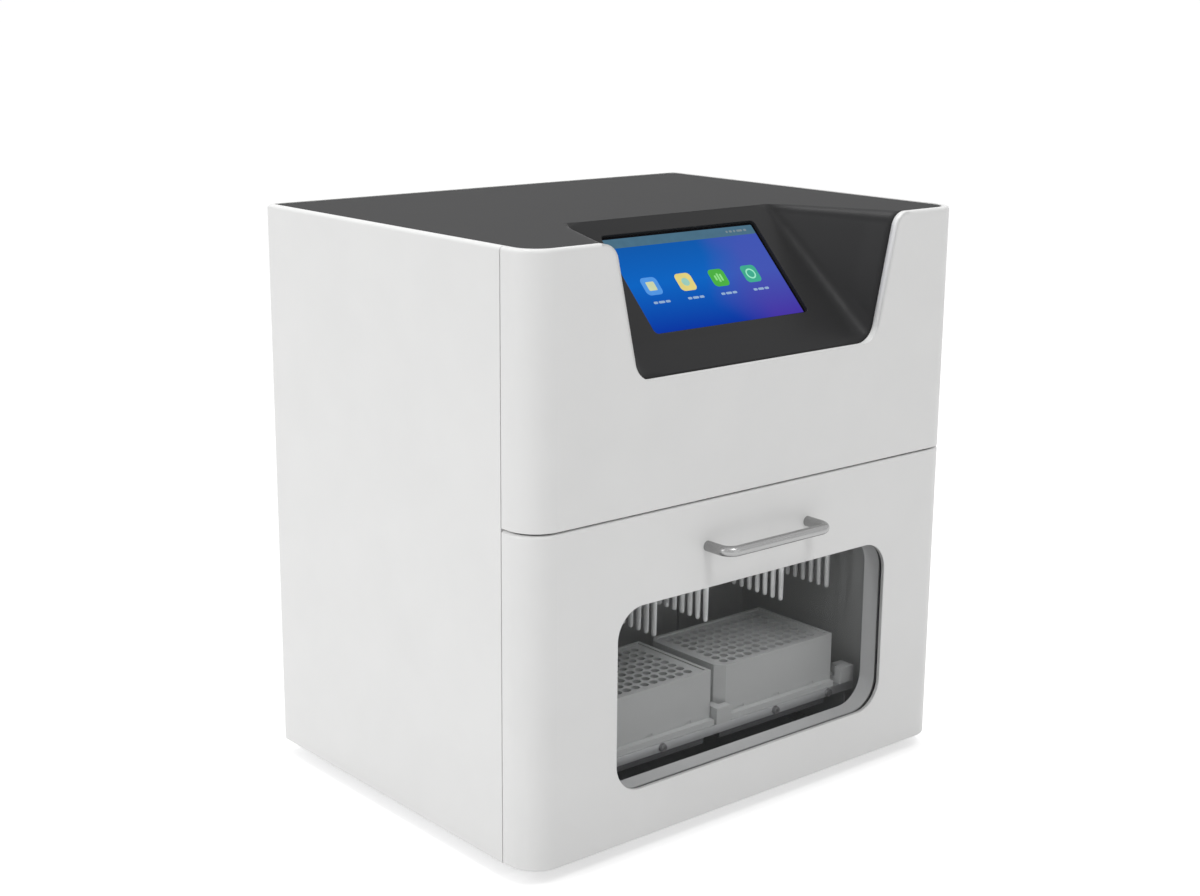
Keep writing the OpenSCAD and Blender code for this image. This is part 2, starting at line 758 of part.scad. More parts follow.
// A stepper motor with its face at z = 0 and its body above it
module stepper(size, length, bore) {
    corner = size / 8;
    difference() {
        union() {
            linear_extrude(length) difference() {
                translate([-size / 2, -size / 2]) square(size);
                for (a = [0:90:270])
                    rotate(a) translate([size / 2, size / 2]) rotate(45) square(corner, center = true);
            }
            translate([0, 0, -1.5]) cylinder(h = 1.5, d = size / 2);
        }
        translate([0, 0, -1.5 - cut]) cylinder(h = length / 2, d = bore);
    }
}

module x_motor() {
    color("dimgray") translate([-pulley_x, beam_y + pulley_ear_t, belt_z]) rotate([-90, 0, 0])
        stepper(nema, motor_l, motor_bore);
}

module pulley(bore) {
    flange = 1;
    tooth = 0.8;
    teeth = 20;
    root_r = pulley_d / 2 - belt_t / 2;
    difference() {
        union() {
            for (z = [0, pulley_w - flange])
                translate([0, 0, z]) cylinder(h = flange, r = root_r + belt_t + 1);
            translate([0, 0, flange]) linear_extrude(pulley_w - 2 * flange) difference() {
                circle(root_r);
                for (i = [0:teeth - 1]) rotate(i * 360 / teeth) translate([root_r, 0]) circle(tooth / 2);
            }
        }
        if (bore > 0) translate([0, 0, -cut]) cylinder(h = pulley_w + 2 * cut, d = bore);
    }
}

module x_drive_pulley() {
    color("silver") translate([-pulley_x, pulley_y + pulley_w, belt_z]) rotate([90, 0, 0]) pulley(0);
    color("silver") bar_y(-pulley_x, belt_z, pulley_y + pulley_w, beam_y + 12, 5);
}

module x_idler_pulley() {
    color("silver") translate([pulley_x, pulley_y + pulley_w, belt_z]) rotate([90, 0, 0]) pulley(motor_bore);
}

belt_y0 = pulley_y + (pulley_w - belt_w) / 2;

module x_belt() {
    inner_r = pulley_d / 2 - belt_t / 2 + slack;
    module loop(r) {
        for (x = [-pulley_x, pulley_x]) translate([x, belt_z]) circle(r);
        translate([-pulley_x, belt_z - r]) square([2 * pulley_x, 2 * r]);
    }
    color("black") slab_y(belt_y0, belt_y0 + belt_w) difference() { loop(inner_r + belt_t); loop(inner_r); }
}

module belt_clamp() {
    half = 12;
    grip = pulley_d / 2 + slack;
    slot = belt_t / 2 + slack;
    y1 = belt_y0 + belt_w + 1;
    color("slategray") head() difference() {
        box([-half, carriage_back, motor_shelf_z], [half, y1, carriage_top]);
        box([-half - cut, belt_y0 - slack, belt_z - grip - slot],
            [half + cut, y1 + cut, belt_z - grip + slot]);
    }
}

// ---- carriage and sleeve lift ----

module carriage_bracket() {
    shelf = 3;
    low_shelf = 4;
    window_half = 9;
    color("lightsteelblue") head() difference() {
        union() {
            box([-carriage_half, carriage_y, carriage_z0], [carriage_half, carriage_back, carriage_top]);
            box([-nema / 2 - 3, z_axis_y - nema / 2, motor_shelf_z - shelf],
                [nema / 2 + 3, carriage_back, motor_shelf_z]);
            box([-22, z_axis_y - 12, carriage_z0], [22, carriage_back, carriage_z0 + low_shelf]);
        }
        bar_z(0, z_axis_y, carriage_z0 - cut, carriage_z0 + low_shelf + cut, z_screw_d + 2 * run);
        bar_z(0, z_axis_y, motor_shelf_z - shelf - cut, motor_shelf_z + cut, 22);
        // windows that lighten the plate
        for (x = [-carriage_half + 14, carriage_half - 14]) slab_y(carriage_y - cut, carriage_back + cut)
            round_rect(x - window_half, x + window_half, carriage_z0 + 17, beam_z - 15, 5, 5);
    }
}

module z_motor() {
    color("dimgray") head() translate([0, z_axis_y, motor_shelf_z])
        stepper(nema - 1, motor_l, z_screw_d + 2 * run);
}

module z_rails() {
    color("silver") head() for (x = [-z_rail_x, z_rail_x])
        along_z(x, carriage_y, carriage_z0 + 8, motor_shelf_z - 5) rail_section();
}

module z_screw() { color("silver") head() bar_z(0, z_axis_y, carriage_z0, motor_shelf_z + 12, z_screw_d); }

module z_slide_blocks() {
    color("darkgreen") head() for (x = [-z_rail_x, z_rail_x])
        along_z(x, carriage_y, saddle_z - 4, saddle_z - 4 + z_block_l) block_section();
}

module sleeve_frame() {
    window_edge = 18;
    window_half = 9;
    saddle_half = z_rail_x + block_w / 2;
    block_face = z_rail_front - slack - block_back;
    color("lightsteelblue") head() difference() {
        union() {
            box([-frame_half, frame_y, holder_top], [frame_half, frame_y + frame_t, shelf_z + shelf_t]);
            box([-saddle_half, frame_y + frame_t, saddle_z], [saddle_half, block_face, saddle_z + saddle_h]);
            box([-26, rod_axis_y - 19, shelf_z], [26, frame_y, shelf_z + shelf_t]);
        }
        bar_z(0, z_axis_y, saddle_z - cut, saddle_z + saddle_h + cut, z_screw_d + 2 * run);
        bar_z(0, rod_axis_y, shelf_z - cut, shelf_z + shelf_t + cut, 20);
        for (x = [window_half + 8 - frame_half, 0, frame_half - window_half - 8])
            slab_y(frame_y - cut, frame_y + frame_t + cut) round_rect(x - window_half, x + window_half,
                holder_top + window_edge, saddle_z - 35, 6, 6);
    }
}

module rod_rails() {
    color("silver") head() for (x = [-rod_rail_x, rod_rail_x])
        along_z(x, frame_y, holder_top + 6, shelf_z - 4) rail_section();
}

module rod_motor() {
    color("dimgray") head() translate([0, rod_axis_y, shelf_z + shelf_t])
        stepper(rod_motor_w, rod_motor_l, rod_screw_d + 2 * run);
}

module rod_screw() {
    color("silver") head() bar_z(0, rod_axis_y, holder_top, shelf_z + shelf_t + 12, rod_screw_d);
}

module comb_holder() {
    slot_half = 4.5;
    hook = 1.5;
    hook_in = 1.4;
    hook_x = comb_half + 0.2;
    hook_y1 = comb_y1 + 6;
    slot_end = 4.2;
    y1 = frame_y + frame_t;
    color("gainsboro") head() difference() {
        union() {
            box([-holder_half, holder_y0, holder_z], [holder_half, y1, holder_top]);
            bar_z(0, rod_axis_y, holder_top, holder_top + holder_boss_h, 14);
            for (x = comb_xs) for (s = [-1, 1]) translate([x, 0, 0]) mirror([s > 0 ? 0 : 1, 0, 0]) {
                box([hook_x, holder_y0, comb_z - hook], [hook_x + hook, hook_y1, holder_z]);
                box([comb_half - hook_in, holder_y0, comb_z - hook], [hook_x + hook, hook_y1, comb_z]);
            }
        }
        for (x = comb_xs)
            box([x - slot_half, comb_y0 - slot_end, holder_z - cut],
                [x + slot_half, comb_y1 + slot_end, holder_top + cut]);
        bar_z(0, rod_axis_y, holder_top - 0.01, holder_top + holder_boss_h + cut, rod_screw_d + 2 * run);
    }
}

// A hollow sleeve with a round closed tip, its mouth at z = 0 and its tip below
module sleeve() {
    wall_top = 0.6;
    tip_t = 1.2;
    bore_tip_r = rod_d / 2 + slack;
    tip_r = tip_d / 2;
    color("white") rotate_extrude() difference() {
        union() {
            polygon([[0, -sleeve_l + tip_r], [tip_r, -sleeve_l + tip_r], [sleeve_d / 2, 0], [0, 0]]);
            intersection() {
                translate([0, -sleeve_l + tip_r]) circle(tip_r);
                translate([0, -sleeve_l]) square([tip_r, tip_r]);
            }
        }
        polygon([[0, -sleeve_l + tip_t], [bore_tip_r, -sleeve_l + tip_t + 0.4],
            [sleeve_d / 2 - wall_top, cut], [0, cut]]);
    }
}

module sleeve_combs() {
    ends = 6.2;
    mouth_r = sleeve_d / 2 - 0.6;
    color("ghostwhite") head() for (x = comb_xs) {
        difference() {
            box([x - comb_half, comb_y0 - ends, comb_z], [x + comb_half, comb_y1 + ends, holder_z]);
            for (j = [0:comb_n - 1])
                bar_z(x, comb_y0 + j * well_pitch, comb_z - cut, holder_z + cut, 2 * mouth_r);
        }
        for (j = [0:comb_n - 1]) translate([x, comb_y0 + j * well_pitch, comb_z]) sleeve();
    }
}

module rod_plate() {
    half = comb_in + comb_step + 8;
    top = rod_plate_z + rod_plate_t;
    color("lightsteelblue") head() {
        difference() {
            union() {
                box([-half, comb_y0 - 6, rod_plate_z], [half, comb_y1 + 5, top]);
                bar_z(0, rod_axis_y, rod_plate_z - 8, top + 4, 16);
            }
            bar_z(0, rod_axis_y, rod_plate_z - 9, top + 5, rod_screw_d + 2 * run);
            for (x = [-plate_pitch / 2, plate_pitch / 2]) translate([x, plate_mid_y, rod_plate_z - cut])
                linear_extrude(rod_plate_t + 2 * cut) round_rect(-14, 14, -26, 26, 6, 6);
        }
        for (x = [-rod_rail_x, rod_rail_x]) along_z(x, frame_y, top, top + rod_block_l) block_section();
    }
}

module magnet_rods() {
    collar_l = 14;
    color("silver") head() for (x = comb_xs) for (j = [0:comb_n - 1]) {
        y = comb_y0 + j * well_pitch;
        bar_z(x, y, holder_z + 0.8, rod_plate_z, rod_d);
        bar_z(x, y, rod_plate_z - collar_l, rod_plate_z, rod_d + 1.6);
    }
}

// ---- lamp, electronics and back ----

lamp_z = door_h - 12;
lamp_y = deck_y - 2;
lamp_d = 15;
lamp_half = 118;
clip_xs = [-100, 100];
supply_w = 100;
supply_d = 96;
supply_h = 38;
board_w = 132;
board_d = 86;
board_t = 1.6;

module uv_lamp() {
    cap_l = 14;
    color("lavender") {
        bar_x(lamp_y, lamp_z, -lamp_half, lamp_half, lamp_d);
        both() bar_x(lamp_y, lamp_z, lamp_half, lamp_half + cap_l, lamp_d + 1);
    }
}

module uv_lamp_clips() {
    clip_half = 4;
    out = lamp_d / 2 + 1;
    color("silver") for (x = clip_xs) difference() {
        box([x - clip_half, lamp_y - out, lamp_z - 4], [x + clip_half, lamp_y + out, cover_z]);
        bar_x(lamp_y, lamp_z, x - clip_half - cut, x + clip_half + cut, lamp_d);
    }
}

module power_supply() {
    x0 = 46;
    y1 = body_d - wall - tray_t - 4;
    y0 = y1 - supply_d;
    top = tray_t + supply_h;
    holes = [supply_w / 12.5, supply_d / 8.7];      // pitch of the vent holes
    color("silver") difference() {
        box([x0, y0, tray_t], [x0 + supply_w, y1, top]);
        // recess for the terminals
        box([x0 - cut, y0 + 2, tray_t + 14], [x0 + 12, y1 - 2, top + cut]);
        for (i = [0:8]) for (j = [0:5])
            bar_z(x0 + 26 + holes[0] * i, y0 + 18 + holes[1] * j, top - 3, top + cut, 4);
    }
}

module control_board() {
    x1 = -24;
    y1 = body_d - wall - tray_t - 6;
    low = [x1 - board_w, y1 - board_d, tray_t + 8];
    top = low[2] + board_t;
    chip = 24;
    color("darkgreen") {
        cube_at(low, [board_w, board_d, board_t]);
        // standoffs, processor, driver, connectors along the back and three capacitors
        for (x = [6, board_w - 6]) for (y = [6, board_d - 6])
            bar_z(low[0] + x, low[1] + y, tray_t, low[2], 6);
        cube_at([low[0] + (board_w - 2 * chip) / 2, low[1] + (board_d - chip) / 2, top], [chip, chip, 2]);
        cube_at([low[0] + board_w - 48, low[1] + 20, top], [14, 10, 3]);
        for (i = [0:4]) cube_at([low[0] + 14 + board_w / 6.6 * i, y1 - 10, top], [14, 7, 8]);
        for (i = [0:2]) bar_z(low[0] + board_w - 32 + 9 * i, low[1] + 52, top, top + 12, 8);
    }
}

module cube_at(low, size) { translate(low) cube(size); }

fan_x = -95;
fan_back = body_d - wall;

module fan_frame() {
    bore = fan_w - 4;
    hub = 30;
    hole_out = 0.447 * fan_w;               // the mounting holes stand on a square
    hole_d = 4.4;
    color("black") {
        difference() {
            slab_y(fan_back - fan_t, fan_back) difference() {
                translate([fan_x, fan_z]) rounded(fan_w, fan_w, 4);
                translate([fan_x, fan_z]) circle(d = bore);
            }
            for (x = [-1, 1]) for (z = [-1, 1])
                bar_y(fan_x + x * hole_out, fan_z + z * hole_out, fan_back - fan_t - cut, fan_back + cut,
                    hole_d);
        }
        // motor mount on three arms, on the inner side
        slab_y(fan_back - fan_t, fan_back - fan_t + 3) translate([fan_x, fan_z]) intersection() {
            circle(d = bore);
            union() {
                circle(d = hub);
                for (a = [90, 210, 330]) rotate(a) translate([0, -2]) square([fan_w / 2, 4]);
            }
        }
        bar_y(fan_x, fan_z, fan_back - fan_t + 3, fan_back - 8, 4);
    }
}

module fan_rotor() {
    blades = 7;
    hub = 30;
    reach = fan_w / 2 - 4;
    y0 = fan_back - fan_t + 3.6;
    y1 = fan_back - 4;
    color("black") difference() {
        union() {
            bar_y(fan_x, fan_z, y0, y1, hub);
            for (i = [0:blades - 1]) translate([fan_x, (y0 + y1) / 2, fan_z]) rotate([0, i * 360 / blades, 0])
                rotate([0, 0, 0]) translate([hub / 2 - 1.5, 0, 0]) rotate([38, 0, 0])
                    translate([0, -0.8, -11]) cube([reach - hub / 2, 1.6, 22]);
        }
        bar_y(fan_x, fan_z, y0 - cut, fan_back - 8, 4 + 2 * run);
    }
}

module fan_guard() {
    wire = 2;
    y1 = body_d + guard_t;
    color("black") translate([fan_x, 0, fan_z]) {
        for (r = [8, 17, 26, 35]) slab_y(y1 - wire, y1) difference() { circle(r + 1); circle(r - 1); }
        for (a = [45:90:315]) rotate([0, -a, 0]) {
            box([0, y1 - wire, -1.2], [fan_w * 0.56, y1, 1.2]);
            box([fan_w * 0.5, body_d, -3.4], [fan_w * 0.6, y1, 3.4]);
        }
    }
}

entry_x = 120;
entry_z = 68;

module entry_cut() {
    slab_y(body_d - wall - cut, body_d + cut)
        translate([entry_x, entry_z]) rounded(entry_w - 10, entry_h - 10, 2);
}

rocker_y = body_d - 2;
rocker_z = entry_z + 15;
rocker_half = [9.4, 6.2];
pivot_d = 2.4;
pivot_l = 1.2;

module power_entry() {
    flange_t = 2;
    socket_z = entry_z - 9;
    pocket = rocker_half + [slack, slack];
    color("black") {
        difference() {
            union() {
                slab_y(body_d, body_d + flange_t) translate([entry_x, entry_z]) rounded(entry_w, entry_h, 3);
                slab_y(body_d - 22, body_d) translate([entry_x, entry_z])
                    rounded(entry_w - 10 - fit, entry_h - 10 - fit, 2);
            }
            slab_y(body_d - 16, body_d + flange_t + cut) translate([entry_x, socket_z])
                polygon([[-12, -8], [12, -8], [12, 4], [8, 8], [-8, 8], [-12, 4]]);
            box([entry_x - pocket[0], body_d - 9, rocker_z - pocket[1]],
                [entry_x + pocket[0], body_d + flange_t + cut, rocker_z + pocket[1]]);
            bar_x(rocker_y, rocker_z, entry_x - pocket[0] - pivot_l, entry_x + pocket[0] + pivot_l,
                pivot_d + 2 * run);
        }
        for (p = [[-7, -3], [0, 1], [7, -3]])
            cube_at([entry_x + p[0] - 1, body_d - 17, socket_z + p[1] - 2], [2, 15, 4]);
    }
}

module power_rocker() {
    tilt = 7;
    color("maroon") translate([entry_x, rocker_y, rocker_z]) rotate([tilt, 0, 0]) {
        slab_x(-rocker_half[0], rocker_half[0])
            polygon([[-4.5, -2.5], [2.6, 0.9 - rocker_half[1]], [1.4, 0], [2.6, rocker_half[1] - 0.9],
                [-4.5, 2.5]]);
        bar_x(0, 0, -rocker_half[0] - pivot_l, rocker_half[0] + pivot_l, pivot_d);
    }
}

// ---- door ----

module window_outline(grow) {
    translate([win_x, win_z + win_h / 2]) rounded(win_w + 2 * grow, win_h + 2 * grow, win_r + grow);
}

liner_half = half_w - 13;
liner_t = 2;
liner_z0 = 12;
liner_z1 = door_h - 10;
boss_spots = [for (x = [-1, 1]) for (z = [26, door_h - 50]) [x * (ear_x - 12), z]];

module door_shell() {
    boss_r = 4;
    color("gainsboro") difference() {
        union() {
            front_shell(door_z, door_top, false);
            for (p = boss_spots) bar_y(p[0], p[1], wall / 2, liner_y - liner_t, 2 * boss_r);
        }
        slab_y(-cut, wall + cut) window_outline(0);
        for (p = boss_spots) bar_y(p[0], p[1], wall + 2, liner_y, 2 * 1.3);
        for (s = [-1, 1]) bar_y(s * handle_pitch / 2, handle_z, -cut, wall + cut, 2 * screw_r);
    }
}

module door_window() {
    flush = 0.2;
    edge_gap = 0.5;
    color([0.2, 0.2, 0.2, 0.5]) {
        slab_y(flush, wall) window_outline(-edge_gap);
        slab_y(wall, wall + pane_t) window_outline(glazing_edge);
    }
}

glazing_edge = 7;
gasket_t = 1;
gasket_y = wall + pane_t;

module window_gasket() {
    color("black") slab_y(gasket_y, gasket_y + gasket_t) difference() {
        window_outline(glazing_edge);
        window_outline(1.5);
    }
}

module door_liner() {
    tunnel_y = gasket_y + gasket_t;
    tunnel_t = 2;
    side_t = 2;
    plate_y = liner_y - liner_t;
    color("gray") {
        difference() {
            slab_y(plate_y, liner_y) round_rect(-liner_half, liner_half, liner_z0, liner_z1, 6, 6);
            slab_y(plate_y - cut, liner_y + cut) window_outline(1);
            for (p = boss_spots) bar_y(p[0], p[1], plate_y - cut, liner_y + cut, 3.2);
        }
        slab_y(tunnel_y, plate_y) difference() { window_outline(1 + tunnel_t); window_outline(1); }
        both() box([-liner_half, wall + 5, liner_z0 + 8], [-liner_half + side_t, plate_y, liner_z1 - 8]);
    }
}

module door_handle() {
    reach = handle_out - handle_d / 2;
    half = handle_pitch / 2;
    color("silver") difference() {
        union() {
            bar_x(-reach, handle_z, -half + handle_bend, half - handle_bend, handle_d);
            both() {
                bar_y(half, handle_z, -reach + handle_bend, 0, handle_d);
                translate([half - handle_bend, -reach + handle_bend, handle_z]) rotate([0, 0, -90])
                    rotate_extrude(angle = 90) translate([handle_bend, 0]) circle(d = handle_d);
            }
        }
        for (s = [-1, 1]) bar_y(s * half, handle_z, -9, cut, 2 * screw_r);
    }
}

module handle_screws() {
    color("silver") for (s = [-1, 1])
        translate([s * handle_pitch / 2, wall, handle_z]) rotate([-90, 0, 0]) screw(wall + 8);
}

module hinge_ears() {
    top = 44;
    color("silver") both() difference() {
        slab_x(ear_x, ear_x + ear_t) {
            translate([hinge_y, hinge_z]) circle(hinge_r);
            polygon([[hinge_y - hinge_r, hinge_z], [hinge_y + hinge_r, hinge_z], [liner_y - liner_t, 16],
                [liner_y - liner_t, top], [hinge_y - hinge_r, top - 14]]);
        }
        bar_x(hinge_y, hinge_z, ear_x - cut, ear_x + ear_t + cut, pin_d + 2 * run);
    }
}

module hinge_brackets() {
    base_l = 22;
    base_w = 12;
    color("gray") both() {
        difference() {
            slab_x(arm_x, arm_x + arm_t) {
                translate([hinge_y, hinge_z]) circle(hinge_r);
                polygon([[hinge_y, hinge_z - hinge_r], [deck_y, 0], [deck_y, tray_t],
                    [deck_y + base_l, tray_t], [deck_y + base_l, tray_t + 6], [hinge_y, hinge_z + hinge_r]]);
            }
            bar_x(hinge_y, hinge_z, arm_x - cut, arm_x + arm_t + cut, pin_d);
        }
        box([arm_x + arm_t, deck_y + 2, tray_t], [arm_x + arm_t + base_w, deck_y + base_l, tray_t + 2]);
    }
}

module hinge_pins() { color("silver") both() bar_x(hinge_y, hinge_z, arm_x, ear_x + ear_t + 1, pin_d); }

module door_magnets() {
    x0 = chamber_half + sheet_t;
    color("dimgray") both() {
        box([x0, liner_y + 0.5, door_h - 34], [x0 + 12, liner_y + 12, door_h - 18]);
        box([x0, liner_y + 12, door_h - 36], [x0 + 14, deck_y + tray_t + 14, door_h - 16]);
    }
}

place() base_tray();
place() rubber_feet();
place() chassis_screws();
place() left_side_cover();
place() right_side_cover();
place() rear_cover();
place() upper_front_cover();
place() top_cover();
place() touch_display();
place() chamber_walls();
place() deck_plate();
place() deck_supports();
place() heater_blocks();
place() plate_locators();
place() left_well_plate();
place() right_well_plate();
place() gantry_uprights();
place() gantry_beam();
place() x_rails();
place() x_motor();
place() x_drive_pulley();
place() x_idler_pulley();
place() x_belt();
place() uv_lamp();
place() uv_lamp_clips();
place() power_supply();
place() control_board();
place() fan_frame();
place() fan_rotor();
place() fan_guard();
place() power_entry();
place() power_rocker();
place() hinge_brackets();
place() hinge_pins();
place() door_magnets();
place() door_shell();
place() door_liner();
place() door_window();
place() window_gasket();
place() door_handle();
place() handle_screws();
place() hinge_ears();
place() carriage_bracket();
place() x_slide_blocks();
place() z_motor();
place() z_rails();
place() belt_clamp();
place() z_screw();
place() sleeve_frame();
place() z_slide_blocks();
place() comb_holder();
place() sleeve_combs();
place() rod_rails();
place() rod_motor();
place() rod_screw();
place() rod_plate();
place() magnet_rods();
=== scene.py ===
import json
import math

import bmesh
import bpy
from mathutils import Matrix, Vector

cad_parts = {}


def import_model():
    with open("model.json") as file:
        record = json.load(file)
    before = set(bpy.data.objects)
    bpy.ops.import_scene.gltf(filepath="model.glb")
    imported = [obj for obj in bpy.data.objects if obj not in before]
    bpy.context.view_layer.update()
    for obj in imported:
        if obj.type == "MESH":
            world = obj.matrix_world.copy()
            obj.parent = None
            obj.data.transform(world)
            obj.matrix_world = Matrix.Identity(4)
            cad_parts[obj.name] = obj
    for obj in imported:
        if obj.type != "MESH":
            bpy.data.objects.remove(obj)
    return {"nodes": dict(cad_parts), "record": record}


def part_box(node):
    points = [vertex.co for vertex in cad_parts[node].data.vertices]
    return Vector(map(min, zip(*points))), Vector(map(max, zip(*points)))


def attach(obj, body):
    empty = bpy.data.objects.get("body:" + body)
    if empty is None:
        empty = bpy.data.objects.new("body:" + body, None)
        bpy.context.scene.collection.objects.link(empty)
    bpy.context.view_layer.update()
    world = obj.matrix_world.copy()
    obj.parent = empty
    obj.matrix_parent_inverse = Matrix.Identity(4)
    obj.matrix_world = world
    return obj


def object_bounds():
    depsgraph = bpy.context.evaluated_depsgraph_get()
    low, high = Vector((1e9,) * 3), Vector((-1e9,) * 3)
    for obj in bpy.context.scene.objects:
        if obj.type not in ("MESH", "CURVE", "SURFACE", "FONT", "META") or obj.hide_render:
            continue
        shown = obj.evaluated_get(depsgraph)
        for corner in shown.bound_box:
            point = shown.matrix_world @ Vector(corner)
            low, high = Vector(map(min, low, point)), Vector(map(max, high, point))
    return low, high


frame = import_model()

MM = 0.001
CAD_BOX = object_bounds()
NODES = frame["nodes"]


# ---- procedural materials ----


class Surface:
    """A material with one Principled shader, built from procedural nodes in object coordinates, in metres."""

    def __init__(self, name, roughness, **constants):
        self.material = bpy.data.materials.new(name)
        self.material.use_nodes = True
        self.tree = self.material.node_tree
        self.shader = self.tree.nodes["Principled BSDF"]
        self.shader.inputs["Roughness"].default_value = roughness
        for socket, value in constants.items():
            self.shader.inputs[socket.replace("_", " ")].default_value = value

    def node(self, kind, inputs=None, **settings):
        made = self.tree.nodes.new("ShaderNode" + kind)
        for key, value in settings.items():
            setattr(made, key, value)
        for socket, value in (inputs or {}).items():
            if isinstance(value, bpy.types.NodeSocket):
                self.tree.links.new(value, made.inputs[socket])
            else:
                made.inputs[socket].default_value = value
        return made

    def drive(self, socket, value):
        self.tree.links.new(value, self.shader.inputs[socket])
        return self

    def place(self, stretch=(1, 1, 1)):
        where = self.node("TexCoord").outputs["Object"]
        return self.node("Mapping", {"Vector": where, "Scale": stretch}).outputs["Vector"]

    def noise(self, size, detail=3.0, stretch=(1, 1, 1)):
        """Noise from 0 to 1 whose features are about size metres across."""
        inputs = {"Vector": self.place(stretch), "Scale": 1 / size, "Detail": detail}
        return self.node("TexNoise", inputs).outputs["Fac"]

    def span(self, value, low, high, start=0.3, stop=0.7):
        inputs = {"Value": value, "From Min": start, "From Max": stop, "To Min": low, "To Max": high}
        return self.node("MapRange", inputs).outputs["Result"]

    def ramp(self, value, *stops):
        made = self.node("ValToRGB", {"Fac": value})
        points = made.color_ramp.elements
        while len(points) < len(stops):
            points.new(0.5)
        for point, (at, colour) in zip(points, stops):
            point.position = at
            point.color = (*colour, 1)
        return made.outputs["Color"]

    def vary(self, colour, share, size=0.05, detail=4.0, stretch=(1, 1, 1)):
        """The base colour, lighter and darker by a share."""
        dark, light = ([min(1, c * k) for c in colour] for k in (1 - share, 1 + share))
        self.drive("Base Color", self.ramp(self.noise(size, detail, stretch), (0.3, dark), (0.7, light)))
        return self

    def gloss(self, low, high, size=0.02, stretch=(1, 1, 1)):
        return self.drive("Roughness", self.span(self.noise(size, 5.0, stretch), low, high))

    def by_distance(self, centre, axes, start, stop, near, far):
        """A value that goes from near to far as the distance from a centre goes from start to stop.

        axes says how much each axis counts in the distance."""
        offset = self.node("VectorMath", {0: self.place(), 1: centre}, operation="SUBTRACT").outputs["Vector"]
        counted = self.node("VectorMath", {0: offset, 1: axes}, operation="MULTIPLY").outputs["Vector"]
        distance = self.node("VectorMath", {0: counted}, operation="LENGTH").outputs["Value"]
        return self.span(distance, near, far, start, stop)

    def bump(self, *layers, edge=0.0):
        """Bumps of (height socket, depth), over edges softened by a radius or by by_distance's arguments."""
        if isinstance(edge, tuple):
            edge = self.by_distance(*edge)
        normal = self.node("Bevel", {"Radius": edge}, samples=6).outputs["Normal"] if edge else None
        for height, depth in layers:
            inputs = {"Height": height, "Distance": depth, "Strength": 1.0}
            if normal:
                inputs["Normal"] = normal
            normal = self.node("Bump", inputs).outputs["Normal"]
        return self.drive("Normal", normal)

    def grained(self, grain, depth, edge):
        """Soft waves and, a quarter as deep, a fine grain."""
        return self.bump((self.noise(6 * grain, 2.0), depth), (self.noise(grain, 2.0), depth / 4), edge=edge)

    def waves(self, pitch, direction):
        """Waves from 0 to 1 that repeat every pitch along X, Y or Z; at scale 1 it would be every tau / 20."""
        inputs = {"Vector": self.place(), "Scale": math.tau / (20 * pitch)}
        return self.node("TexWave", inputs, wave_type="BANDS", bands_direction=direction).outputs["Fac"]


def moulded(name, colour, low, high, grain, depth, edge=0.6 * MM):
    """Moulded or sprayed plastic, with a slightly uneven roughness from low to high."""
    s = Surface(name, (low + high) / 2, Specular_IOR_Level=0.5)
    return s.vary(colour, 0.012).gloss(low, high).grained(grain, depth, edge).material


def recessed_plastic(name, colour, shine, dull, smooth, grain, depth):
    """Moulded plastic that is dull on the flat top and smoother in the recess below it."""
    s = Surface(name, smooth, Specular_IOR_Level=shine)
    s.drive("Roughness", s.by_distance(TOP_MIDDLE, (0, 0, 1), 0.3 * MM, 2 * MM, dull, smooth))
    return s.vary(colour, 0.012).grained(grain, depth, RECESS_EDGE).material


def powder_coat(name, colour, share=0.03):
    s = Surface(name, 0.5, Specular_IOR_Level=0.4)
    s.vary(colour, share).gloss(0.42, 0.6)
    return s.bump((s.noise(0.9 * MM, 3.0), 0.05 * MM), edge=0.4 * MM).material


def brushed(name, colour, stretch, low=0.25, high=0.42, share=0.06, depth=0.004 * MM):
    """Metal brushed along one axis: stretch is small along it and large across it."""
    s = Surface(name, (low + high) / 2, Metallic=1.0)
    s.vary(colour, share, 0.4 * MM, 3.0, stretch).gloss(low, high, 0.5 * MM, stretch)
    return s.bump((s.noise(0.3 * MM, 3.0, stretch), depth), edge=0.25 * MM).material


def rubber(name, colour=(0.022, 0.022, 0.023)):
    s = Surface(name, 0.75, Specular_IOR_Level=0.35)
    s.vary(colour, 0.15).gloss(0.65, 0.85)
    return s.bump((s.noise(0.5 * MM, 3.0), 0.03 * MM), edge=0.3 * MM).material


def threaded(name, colour, pitch, depth):
    """A steel lead screw, its thread a fine wave along z, with painted shade darkening the thread's grooves.
    """
    s = Surface(name, 0.3, Metallic=1.0)
    thread = s.waves(pitch, "Z")
    # Painted shade: the grooves of the thread (low wave) get a darker base colour than its crests
    s.drive("Base Color", s.ramp(thread, (0.2, [c * 0.45 for c in colour]), (0.8, colour)))
    s.gloss(0.25, 0.4)
    return s.bump((thread, depth)).material


def toothed_belt(name, pitch, depth):
    s = Surface(name, 0.7)
    s.vary((0.02, 0.02, 0.021), 0.2).gloss(0.6, 0.8)
    return s.bump((s.waves(pitch, "X"), depth)).material


def tinted_glass(name):
    """The smoked pane: a dark film that lets part of the light through."""
    s = Surface(name, 0.06, Alpha=0.12, Specular_IOR_Level=0.35, IOR=1.5)
    s.vary((0.016, 0.018, 0.018), 0.1)
    s.gloss(0.04, 0.08, 0.06)
    return s.material


def black_glass(name):
    s = Surface(name, 0.1, Specular_IOR_Level=0.15)
    s.vary((0.006, 0.006, 0.008), 0.2).gloss(0.08, 0.14, 0.03)
    return s.bump((s.noise(40 * MM, 1.0), 0.01 * MM), edge=0.3 * MM).material


def lamp_glass(name):
    s = Surface(name, 0.2, Alpha=0.85, Specular_IOR_Level=0.6)
    s.vary((0.80, 0.81, 0.84), 0.03).gloss(0.12, 0.25)
    return s.material


